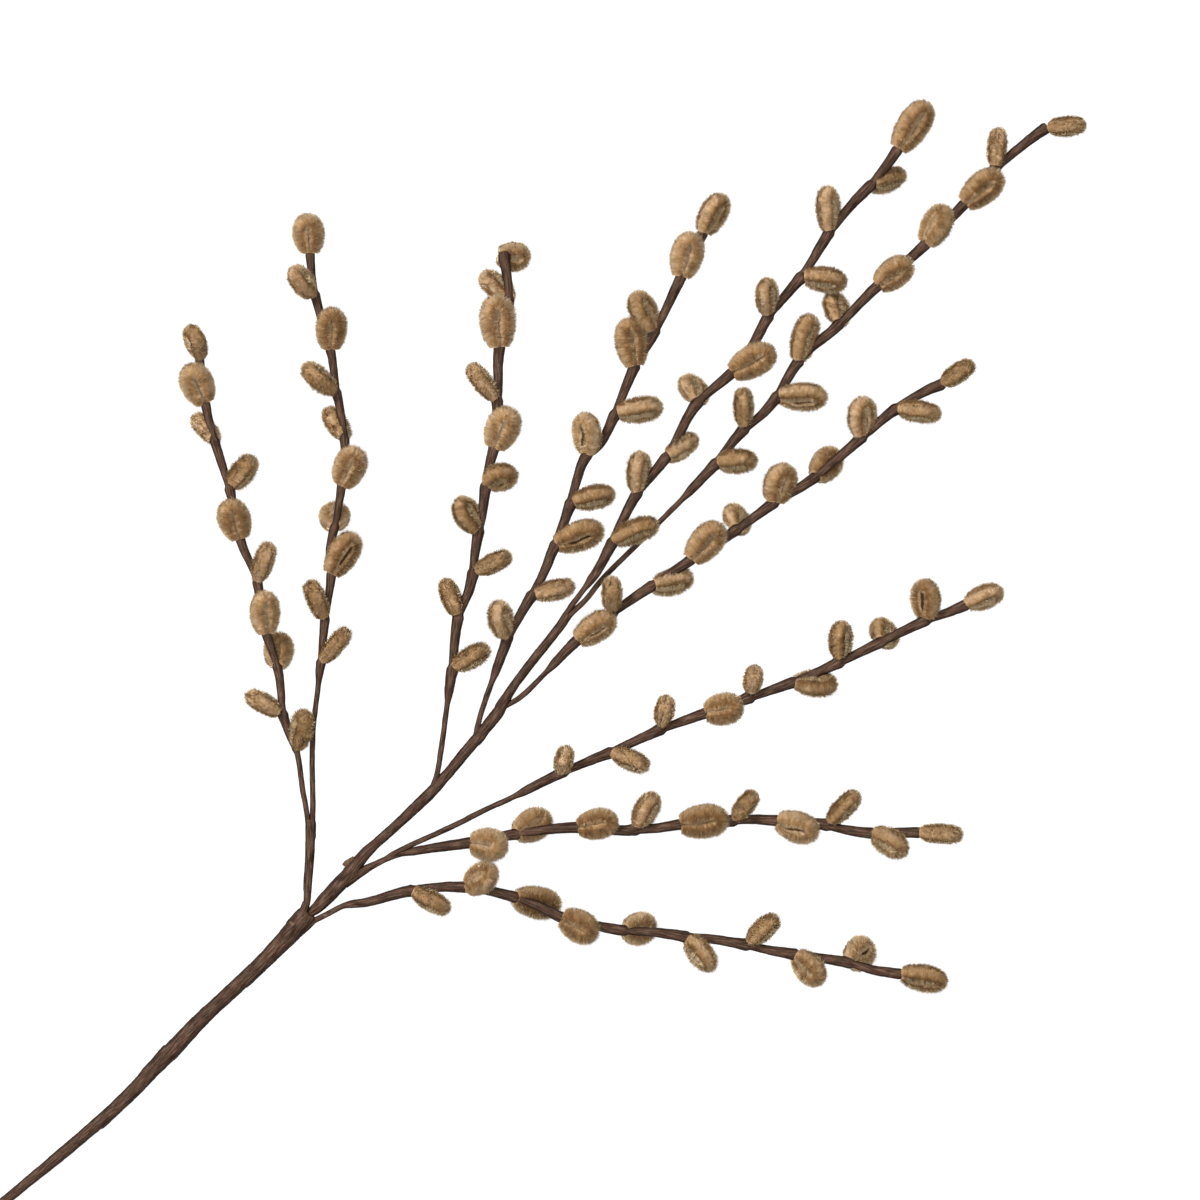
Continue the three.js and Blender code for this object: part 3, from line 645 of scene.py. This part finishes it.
def catkin_frame(foot, tip, roll_degrees):
    axis = tip - foot
    length = np.linalg.norm(axis)
    axis = axis / length
    level = unit(np.array([-axis[1], axis[0], 0]))
    upright = np.cross(axis, level)
    roll = math.radians(roll_degrees)
    spread = level * math.cos(roll) + upright * math.sin(roll)
    return axis, spread, np.cross(axis, spread), length


def loop_path(length, girth, rng):
    """The wire of one chenille loop in its own plane: from the foot up one leg, round and down the other.

    Returns points (side, along), the pile's radius at each, and its full radius, in millimetres."""
    width = LOOP_HALF_WIDTH * girth * rng.uniform(*WIDTH_SPREAD)
    depth = LOOP_HALF_DEPTH * math.sqrt(girth) * rng.uniform(*DEPTH_SPREAD)
    crown = length - depth * CROWN_PILE
    leg = np.stack([np.array(LEG_OFFSETS) * width, np.array(LEG_SHARES) * length], axis=1)
    side, start = leg[-1]
    turns = np.linspace(0, math.pi / 2, BEND_STEPS + 1)[1:]
    bend = np.stack([side * np.cos(turns), start + (crown - start) * np.sin(turns)], axis=1)
    half = np.vstack([leg, bend])
    half_pile = np.concatenate([
        np.array(LEG_PILE) * depth, depth * (1 - TIP_THINNING * np.sin(turns)),
    ])
    other = half[-2::-1] * (-1, 1)
    return np.vstack([half, other]), np.concatenate([half_pile, half_pile[-2::-1]]), depth


class Chenille:
    """One bent chenille stem in space: its wire, and the pile round each place on it."""

    def __init__(self, foot, tip, roll_degrees, slit, girth, rng):
        self.foot = foot
        self.slit = slit
        self.wander = soft_noise(rng, *SLIT_WAVES)
        self.axis, self.spread, self.depth_way, self.length = catkin_frame(foot, tip, roll_degrees)
        self.path, self.pile, self.full = loop_path(self.length, girth, rng)
        self.steps = np.concatenate(
            [[0], np.cumsum(np.linalg.norm(np.diff(self.path, axis=0), axis=1))]
        )

    def along(self, where):
        """(side, up, pile radius) at each place on the wire."""
        return (
            np.interp(where, self.steps, self.path[:, 0]),
            np.interp(where, self.steps, self.path[:, 1]),
            np.interp(where, self.steps, self.pile),
        )

    def reach(self, where, angle, share):
        """Points of the pile at an angle round the wire, and the way out from the wire there.

        Also the way along the wire, and whether the pile is pressed there. On the inside of the loop it is
        pressed against the other leg and stands up beside the slit."""
        side, up, pile = self.along(where)
        ahead = np.stack(self.along(np.minimum(where + WIRE_STEP, self.steps[-1]))[:2], axis=1)
        behind = np.stack(self.along(np.maximum(where - WIRE_STEP, 0))[:2], axis=1)
        run = unit(ahead - behind)
        inward = np.stack([-run[:, 1], run[:, 0]], axis=1)
        to_middle = np.abs(side) / np.maximum(np.abs(inward[:, 0]), 0.05)
        shift = self.wander(np.stack([up, up * 0, up * 0], axis=1)) * SLIT_WANDER * np.sign(side)
        groove = ease(np.abs(np.sin(angle)) / GROOVE_SINE)
        share_up = up / self.length
        opening = ease((share_up - SLIT_OPENING[0]) / SLIT_OPENING[1])
        open_share = opening * ease((SLIT_CLOSING[0] - share_up) / SLIT_CLOSING[1])
        room = np.clip(to_middle, LEAST_ROOM, self.full) + CORE_OVERLAP * (1 - groove)
        room = room - (self.slit / 2 * open_share + shift) * groove
        span = pile * share
        flat = -span * np.cos(angle)
        tall = span * np.sin(angle)
        pressed = flat > room
        standing = np.sqrt(np.maximum(span**2 - room**2, 0)) * np.where(tall < 0, -1, 1) * groove
        tall = np.where(pressed, standing, tall)
        flat = np.where(pressed, room, flat)
        centre = self.foot + self.spread * side[:, None] + self.axis * up[:, None]
        inward_way = self.spread * inward[:, :1] + self.axis * inward[:, 1:]
        offset = inward_way * flat[:, None] + self.depth_way * tall[:, None]
        run_way = self.spread * run[:, :1] + self.axis * run[:, 1:]
        return centre, offset, run_way, pressed


def foot_closeness(up, length):
    return np.clip(1 - up / (FOOT_REACH * length), 0, 1)


def pile_shade(offset, loop, pressed, parted):
    """Painted shade: darker along the two lines over the wire, where the pile parts; paler beside the
    slit.
    """
    facing = np.abs(unit(offset) @ loop.depth_way)
    parting = ease((facing - PARTING_START) / PARTING_FADE)
    return np.where(pressed, SLIT_SHADE, PILE_SHADE - PARTING_SHADE * parted * parting)


def heart_skin(loop, lumps, parted):
    """The dense heart of the pile, a closed tube round the wire."""
    last = loop.steps[-1]
    where = np.repeat(np.linspace(0, last, CORE_RINGS), CORE_SIDES)
    angle = np.tile(np.arange(CORE_SIDES) / CORE_SIDES * 2 * math.pi, CORE_RINGS)
    centre, offset, _, pressed = loop.reach(where, angle, CORE_SHARE)
    skin = centre + offset
    skin = skin + unit(offset) * (lumps(skin) * np.where(pressed, 0, CORE_LUMPS))[:, None]
    _, up, _ = loop.along(where)
    ends = loop.reach(np.array([0, last]), np.zeros(2), 0)[0]
    vertices = np.vstack([skin, ends])
    tone = np.zeros((len(vertices), 4))
    # Painted shadow in the slit: where the legs press together the heart gets red 0 and a dark blue
    tone[:-2, 0] = np.where(pressed, 0, ROOT_DEPTH)
    tone[:, 1] = np.append(foot_closeness(up, loop.length), [1, 1])
    tone[:-2, 2] = np.where(pressed, SLIT_HEART_SHADE, pile_shade(offset, loop, pressed, parted))
    normals = np.vstack([unit(offset), -loop.axis, -loop.axis])
    return vertices, grid_triangles(CORE_RINGS, CORE_SIDES), tone, normals


def shown_fibres(loop, ends, rng):
    """Which fibres to keep: no more than wanted, and none that ends deep inside the other leg."""
    side, up, pile_radius = loop.along(np.linspace(0, loop.steps[-1], 60))
    wire = loop.foot + loop.spread * side[:, None] + loop.axis * up[:, None]
    gaps = np.linalg.norm(ends[:, None, :] - wire[None, :, :], axis=2) / pile_radius[None, :]
    shown = np.flatnonzero(gaps.min(axis=1) > HIDDEN_SHARE)
    if len(shown) > FIBRES_PER_CATKIN:
        shown = np.sort(rng.permutation(shown)[:FIBRES_PER_CATKIN])
    return shown


def fibre_skin(loop, lumps, parted, rng):
    """The fibres: flat blades of one triangle, spread evenly over the pile by the golden angle."""
    last = loop.steps[-1]
    tries = int(FIBRES_PER_CATKIN * FIBRE_SURPLUS)
    fine = np.linspace(0, last, 400)
    weight = np.cumsum(loop.along(fine)[2])
    order = (np.arange(tries) + rng.uniform(0, 1, tries)) / tries
    where = np.interp(order, weight / weight[-1], fine)
    angle = np.arange(tries) * math.pi * (3 - math.sqrt(5)) + rng.normal(0, FIBRE_TURN, tries)
    angle = angle % (2 * math.pi)
    lean, swirl = soft_noise(rng, *LEAN_WAVES), soft_noise(rng, *LEAN_WAVES)
    centre, offset, run, _ = loop.reach(where, angle, 1)
    rim = centre + offset
    root = centre + loop.reach(where, angle, FIBRE_ROOT_SHARE)[1]
    furrow = 2 * math.pi * where / FURROW_SPACING + FURROW_SWIRL * swirl(rim) + FURROW_LEAN * lean(rim)
    comb = FIBRE_COMB + rng.normal(0, COMB_SPREAD, tries) + COMB_SWIRL * swirl(rim)
    comb = np.clip(comb, *COMB_LIMITS)
    comb = comb * np.sin(angle) * np.sign(np.cos(angle) + rng.normal(0, PARTING_BLUR, tries))
    longer = np.clip(rng.normal(0, FIBRE_LENGTH_SPREAD, tries), *FIBRE_LENGTH_LIMITS)
    stretch = FIBRE_REACH + longer + FIBRE_LUMPS * lumps(rim)
    stretch = stretch + TUFT_RISE * np.cos(furrow)
    _, tip_offset, _, pressed = loop.reach(where, angle - comb, stretch)
    out = unit(tip_offset)
    beside = np.cross(out, run)
    along = lean(rim) * STRAY_LEAN + rng.normal(0, STRAY_ALONG, tries) - TUFT_GATHER * np.sin(furrow)
    stray = run * along[:, None]
    stray = stray + beside * rng.normal(0, STRAY_ACROSS, tries)[:, None]
    end = centre + tip_offset + stray * np.where(pressed, PRESSED_STRAY, 1)[:, None]
    _, up, radius = loop.along(where)
    shown = shown_fibres(loop, end, rng)
    count = len(shown)
    rim, furrow = rim[shown], furrow[shown]
    root, end, run, out = root[shown], end[shown], run[shown], out[shown]
    offset, pressed, up, radius = offset[shown], pressed[shown], up[shown], radius[shown]
    aim = unit(end - root)
    half = FIBRE_HALF_WIDTH * rng.uniform(*FIBRE_WIDTH_SPREAD, count)
    half = half * np.clip(radius / loop.full, 0.5, 1)
    level = unit(np.cross(aim, out))
    twist = rng.uniform(-FIBRE_TWIST, FIBRE_TWIST, count)
    breadth = level * (half * np.cos(twist))[:, None]
    breadth = breadth + np.cross(level, aim) * (half * np.sin(twist))[:, None]
    vertices = np.stack([root - breadth, root + breadth, end], axis=1).reshape(-1, 3)
    faces = np.arange(len(vertices)).reshape(-1, 3)
    shade = pile_shade(offset, loop, pressed, parted) + rng.normal(0, FIBRE_TONE_SPREAD, count)
    # Painted shade in the furrows between tufts; the lean and tuft terms are tone that differs at random
    shade = shade + FURROW_SHADE * np.cos(furrow) + LEAN_TONE * lean(rim)
    shade = shade + TUFT_TONE * soft_noise(rng, *TUFT_WAVES)(rim)
    tone = np.zeros((count, 3, 4))
    # Red 0 at the roots of pressed fibres paints shadow down in the slit; 1 at the ends paints them paler
    tone[:, :2, 0] = np.where(pressed, 0, ROOT_DEPTH)[:, None]
    tone[:, 2, 0] = 1
    tone[:, :, 1] = foot_closeness(up, loop.length)[:, None]
    tone[:, :2, 2] = shade[:, None]
    # The fibres' ends are paler, partly their own paler tips and partly painted light
    tone[:, 2, 2] = (shade + TIP_SHADE) / 2
    slope = run * (FURROW_SLOPE * np.sin(furrow))[:, None]
    ways = unit(out + slope + rng.normal(0, FIBRE_NORMAL_SPREAD, out.shape))
    return vertices, faces, tone.reshape(-1, 4), np.repeat(ways, 3, axis=0)


def catkin(foot, tip, roll_degrees, slit, girth, rng):
    """One bent chenille stem: a dense heart and the fibres that radiate from its wire."""
    loop = Chenille(foot, tip, roll_degrees, slit, girth, rng)
    lumps = soft_noise(rng, *LUMP_WAVES)
    body_tone = rng.uniform(-0.5, 0.5) * CATKIN_TONE_SPREAD
    parted = rng.uniform(*PARTED_SPREAD)
    heart = heart_skin(loop, lumps, parted)
    fibres = fibre_skin(loop, lumps, parted, rng)
    vertices, faces, tone, normals = merged([heart, fibres])
    tone[:, 2] = np.clip(tone[:, 2] + body_tone, 0, 1)
    tone[:, 3] = 1
    return vertices, faces, tone, normals


def linear(hex_colour):
    """A display colour such as 5f4a41 as the linear values that a shader takes."""
    parts = [int(hex_colour[k:k + 2], 16) / 255 for k in (0, 2, 4)]
    return tuple(p / 12.92 if p <= 0.04045 else ((p + 0.055) / 1.055) ** 2.4 for p in parts) + (1,)


class Nodes:
    """Short calls to build a material's node tree."""

    def __init__(self, name):
        self.material = bpy.data.materials.new(name)
        self.material.use_nodes = True
        self.tree = self.material.node_tree
        self.shader = self.tree.nodes["Principled BSDF"]

    def add(self, kind, **values):
        node = self.tree.nodes.new(kind)
        for key, value in values.items():
            setattr(node, key, value)
        return node

    def link(self, source, target):
        self.tree.links.new(source, target)

    def tones(self):
        tone = self.add("ShaderNodeAttribute", attribute_name="tone")
        split = self.add("ShaderNodeSeparateColor")
        self.link(tone.outputs["Color"], split.inputs[0])
        return split.outputs[0], split.outputs[1], split.outputs[2]

    def set_shader(self, values):
        for name, value in values.items():
            self.shader.inputs[name].default_value = value

    def ramp(self, value, stops):
        node = self.add("ShaderNodeValToRGB")
        elements = node.color_ramp.elements
        for index, (position, colour) in enumerate(stops):
            element = elements[index] if index < 2 else elements.new(position)
            element.position = position
            element.color = colour
        self.link(value, node.inputs[0])
        return node.outputs[0]

    def mix(self, factor, first, second, blend="MIX"):
        node = self.add("ShaderNodeMix", data_type="RGBA", blend_type=blend)
        for value, socket in ((factor, node.inputs[0]), (first, node.inputs[6]), (second, node.inputs[7])):
            if isinstance(value, bpy.types.NodeSocket):
                self.link(value, socket)
            else:
                socket.default_value = value
        return node.outputs[2]

    def noise(self, vector, scale, detail, roughness):
        node = self.add("ShaderNodeTexNoise")
        node.inputs["Scale"].default_value = scale
        node.inputs["Detail"].default_value = detail
        node.inputs["Roughness"].default_value = roughness
        self.link(vector, node.inputs["Vector"])
        return node.outputs[0]

    def mapping(self, vector, scale, rotation):
        node = self.add("ShaderNodeMapping")
        node.inputs["Scale"].default_value = scale
        node.inputs["Rotation"].default_value = rotation
        self.link(vector, node.inputs["Vector"])
        return node.outputs[0]

    def bump(self, height, strength, distance, normal=None):
        node = self.add("ShaderNodeBump")
        node.inputs["Strength"].default_value = strength
        node.inputs["Distance"].default_value = distance
        self.link(height, node.inputs["Height"])
        if normal is not None:
            self.link(normal, node.inputs["Normal"])
        return node.outputs[0]


def tape_material():
    make = Nodes("stem_tape")
    upward, lap, pale = make.tones()
    coordinates = make.add("ShaderNodeTexCoord")
    wrap = coordinates.outputs["UV"]
    place = coordinates.outputs["Object"]
    streaks = make.noise(make.mapping(wrap, (2.2, 0.16, 1), (0, 0, math.radians(6))), 1.0, 4, 0.65)
    creases = make.noise(make.mapping(wrap, (1.5, 0.14, 1), (0, 0, math.radians(-10))), 1.0, 3, 0.6)
    patches = make.noise(place, 90, 3, 0.6)
    tint = make.noise(place, 330, 2, 0.5)
    base = make.ramp(streaks, [
        (0.38, linear("2a1b15")), (0.5, linear("49352c")), (0.62, linear("6c5548")),
    ])
    warm = make.ramp(tint, [(0.36, linear("52382c")), (0.64, linear("443a28"))])
    base = make.mix(0.35, base, warm)
    # Painted shade: darker down in the creases that the bump below raises from the same noise
    dark = make.ramp(creases, [(0.4, (0.5, 0.46, 0.43, 1)), (0.5, (1, 1, 1, 1))])
    base = make.mix(1.0, base, dark, "MULTIPLY")
    shade = make.ramp(patches, [(0.3, (0.75, 0.75, 0.75, 1)), (0.7, (1.25, 1.23, 1.2, 1))])
    base = make.mix(1.0, base, shade, "MULTIPLY")
    # Painted shade: the tape is darker where its surface faces sideways or down, as if lit from above
    painted_side_shade = make.ramp(upward, [
        (0.42, (0.27, 0.21, 0.18, 1)), (0.62, (0.6, 0.56, 0.54, 1)), (0.82, (1, 1, 1, 1)),
    ])
    base = make.mix(1.0, base, painted_side_shade, "MULTIPLY")
    # Painted shade: darker just past each step of the winding, under the edge of the turn that laps over
    # it
    edge = make.ramp(lap, [(0.0, (0.72, 0.7, 0.68, 1)), (0.12, (1, 1, 1, 1))])
    base = make.mix(1.0, base, edge, "MULTIPLY")
    base = make.mix(pale, base, linear("8c6e57"))
    make.link(base, make.shader.inputs["Base Color"])
    normal = make.bump(streaks, 0.45, 0.0002)
    normal = make.bump(creases, 0.45, 0.0002, normal)
    make.link(normal, make.shader.inputs["Normal"])
    make.set_shader({"Roughness": 0.55, "Specular IOR Level": 0.06})
    return make.material


def pile_material():
    make = Nodes("catkin_pile")
    depth, near_foot, light_share = make.tones()
    place = make.add("ShaderNodeTexCoord").outputs["Object"]
    # The blue tone holds painted shade along the parting, in the furrows and in the slit, and tone that
    # differs at random
    colour = make.ramp(light_share, [
        (0.0, linear("462f1c")), (0.35, linear("785939")),
        (0.65, linear("9b7c57")), (1.0, linear("c4a888")),
    ])
    # Painted shade: darker deep in the pile and darkest in the slit. The fibres' ends are paler and
    # greyer, partly their own paler tips and partly painted light
    depth_shade_and_tip_light = make.ramp(depth, [
        (0.0, (0.42, 0.38, 0.35, 1)), (0.15, (0.98, 0.96, 0.93, 1)), (0.45, (1.04, 1.03, 1.01, 1)),
        (1.0, (1.32, 1.37, 1.47, 1)),
    ])
    colour = make.mix(1.0, colour, depth_shade_and_tip_light, "MULTIPLY")
    clumps = make.noise(place, 230, 3, 0.6)
    shade = make.ramp(clumps, [(0.32, (0.84, 0.82, 0.8, 1)), (0.66, (1.12, 1.12, 1.11, 1))])
    colour = make.mix(1.0, colour, shade, "MULTIPLY")
    grain = make.noise(place, 900, 2, 0.6)
    specks = make.ramp(grain, [(0.36, (0.95, 0.94, 0.93, 1)), (0.64, (1.05, 1.05, 1.05, 1))])
    colour = make.mix(1.0, colour, specks, "MULTIPLY")
    pale = make.ramp(near_foot, [(0.6, (0, 0, 0, 1)), (1.0, (0.4, 0.4, 0.4, 1))])
    colour = make.mix(pale, colour, linear("c9a684"))
    make.link(colour, make.shader.inputs["Base Color"])
    make.set_shader({
        "Roughness": 0.95, "Specular IOR Level": 0.1,
        "Sheen Weight": 1.0, "Sheen Roughness": 0.3, "Sheen Tint": linear("e6cfa6"),
    })
    return make.material


def floor_material():
    make = Nodes("floor")
    make.set_shader({
        "Base Color": (0.2, 0.2, 0.2, 1), "Roughness": 0.9, "Specular IOR Level": 0.1,
        "Emission Color": (1, 1, 1, 1), "Emission Strength": 0.9,
    })
    return make.material


def settle(vertices):
    """Pile and tape that would dip into the surface lie flat on it."""
    vertices[:, 2] = np.maximum(vertices[:, 2], LOWEST_POINT)
    return vertices


tape = tape_material()
pile = pile_material()


def dress(piece, node):
    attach(piece, "root")
    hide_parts(node)


def make_tape(name, skin):
    vertices, triangles, uvs, tones = skin
    piece = make_mesh(name + "_tape", settle(vertices), triangles, tape, tones, uvs=uvs)
    dress(piece, name)


def stem_skin(points, seed, sides, laps=(), flecks=(), lap_spacing=None):
    route = Route([on_plan(x, y, height) for x, y, height, _ in points])
    places = np.array([route.distance_to(x, y) for x, y, _, _ in points])
    places[0], places[-1] = 0, route.length
    distances = np.linspace(0, route.length, int(route.length / STEM_RING_SPACING))
    radii = np.interp(distances, places, [point[3] for point in points])
    edges = []
    for start, end, angle, height, rise, fall in laps:
        edges.append((route.distance_to(*start), route.distance_to(*end), angle, height, rise, fall))
    if lap_spacing:
        edges.extend(random_laps(route.length, lap_spacing, STEM_LAP_HEIGHT, seed))
    return tape_tube(route, distances, radii, sides, seed, laps=edges, flecks=flecks)


def build_stem(name, points, seed):
    """A stem's tape, with the ends of tape that run on from it."""
    laps = STEM_LAPS.get(name, ())
    skins = [stem_skin(points, seed, STEM_SIDES, laps, STEM_FLECKS.get(name, ()), STEM_LAP_SPACING)]
    skins += [stem_skin(prong, seed + PRONG_SEED, PRONG_SIDES) for prong in STEM_PRONGS.get(name, ())]
    if name == "upper_stem":
        skins.append(flap(STEM_FLAP, STEM_FLAP_HEIGHT, FLAP_THICKNESS))
    make_tape(name, merged(skins))


def bound_catkin(route, place, at_end, rng):
    """A catkin on its twig: how far along its foot is, the way that it points, and its skin."""
    foot_x, foot_y, tip_x, tip_y, rise, roll, *form = place
    girth, slit, lap, drop = (*form, *PLAIN_CATKIN[len(form):])
    distance = min(route.distance_to(foot_x, foot_y), route.length - BIND_LEAD)
    foot = route.at(distance)[0]
    tip = np.array(on_plan(tip_x, tip_y, foot[2] + rise))
    way = unit(tip - foot)
    sideways = np.linalg.norm(np.cross(way, route.tangent(distance)[0]))
    beside = (sideways * math.sin(math.radians(roll))) ** 2
    clear = FOOT_START + (FOOT_OFFSET + BASE_TILT_OFFSET * max(way[2], 0)) * beside
    start = foot + way * (clear + (END_OFFSET if at_end else 0) - lap)
    start[2] -= drop
    return distance, way, catkin(start, tip, roll, slit, girth, rng)


def build_twig(number, name, twig):
    """A twig's tape, and its catkins as one piece."""
    route = Route(with_heights(twig["route"]))
    feet = []
    bulges = []
    loops = []
    for index, place in enumerate(twig["catkins"]):
        rng = np.random.default_rng(SEED + CATKIN_SEED * (number + 1) + index)
        distance, way, loop = bound_catkin(route, place, index == 0, rng)
        feet.append(distance)
        bulges.append((distance - BULGE_LEAD, way, BULGE_SIZE, BULGE_REACH))
        loops.append(loop)
    distances = np.linspace(0, route.length, int(route.length / TWIG_RING_SPACING))
    wrap_start = route.distance_to(*twig["wrap"])
    radii = twig_radius(distances, wrap_start, sorted(feet), twig.get("slim", 1))
    laps = random_laps(route.length, TWIG_LAP_SPACING, TWIG_LAP_HEIGHT, SEED + TWIG_LAP_SEED + number)
    seed = SEED + TWIG_SEED + number
    flecks = TWIG_FLECKS.get(name, ())
    make_tape(name, tape_tube(route, distances, radii, TWIG_SIDES, seed, bulges, laps, flecks))
    vertices, triangles, tones, normals = merged(loops)
    piece = make_mesh(name + "_catkins", settle(vertices), triangles, pile, tones, normals=normals)
    dress(piece, name)


for number, (name, points) in enumerate(STEMS.items()):
    build_stem(name, points, SEED + number)
for number, (name, twig) in enumerate(TWIGS.items()):
    build_twig(number, name, twig)

# Floor, light and camera
FLOOR_HALF = 6.0
floor_mesh = bpy.data.meshes.new("floor")
corners = [(-FLOOR_HALF, -FLOOR_HALF, 0), (FLOOR_HALF, -FLOOR_HALF, 0), (FLOOR_HALF, FLOOR_HALF, 0),
           (-FLOOR_HALF, FLOOR_HALF, 0)]
floor_mesh.from_pydata(corners, [], [(0, 1, 2, 3)])
floor_mesh.materials.append(floor_material())
floor = bpy.data.objects.new("floor", floor_mesh)
bpy.context.scene.collection.objects.link(floor)

PHOTO_SIDE = 1200
VIEW_CENTRE = (600, 598.5)  # plan grid point under the middle of the picture
VIEW_HEIGHT = 17.0  # height of the plane in which a grid step is one pixel
CAMERA_DISTANCE = 2.6
SENSOR = 36.0


def area_light(name, place, size, energy):
    """A square light that faces the origin."""
    light = bpy.data.lights.new(name, "AREA")
    light.shape = "SQUARE"
    light.size = size
    light.energy = energy
    lamp = bpy.data.objects.new(name, light)
    lamp.location = place
    lamp.rotation_euler = (-Vector(place)).to_track_quat("-Z", "Y").to_euler()
    bpy.context.scene.collection.objects.link(lamp)


area_light("overhead", place=(0.05, 0.05, 3.2), size=2.2, energy=90)
area_light("key", place=(-2.2, 1.8, 3.0), size=1.4, energy=190)

world = bpy.data.worlds.new("studio")
world.use_nodes = True
background = world.node_tree.nodes["Background"]
background.inputs["Color"].default_value = (1, 1, 1, 1)
background.inputs["Strength"].default_value = 0.15
bpy.context.scene.world = world
bpy.context.scene.view_settings.view_transform = "Standard"

camera_data = bpy.data.cameras.new("camera")
camera_data.type = "PERSP"
camera_data.sensor_width = SENSOR
camera_data.lens = SENSOR * CAMERA_DISTANCE / (PHOTO_SIDE * GRID_STEP * MM)
camera = bpy.data.objects.new("camera", camera_data)
centre_x, centre_y, _ = on_plan(*VIEW_CENTRE, 0)
camera.location = (centre_x * MM, centre_y * MM, VIEW_HEIGHT * MM + CAMERA_DISTANCE)
camera_data.clip_end = 100
bpy.context.scene.collection.objects.link(camera)
bpy.context.scene.camera = camera
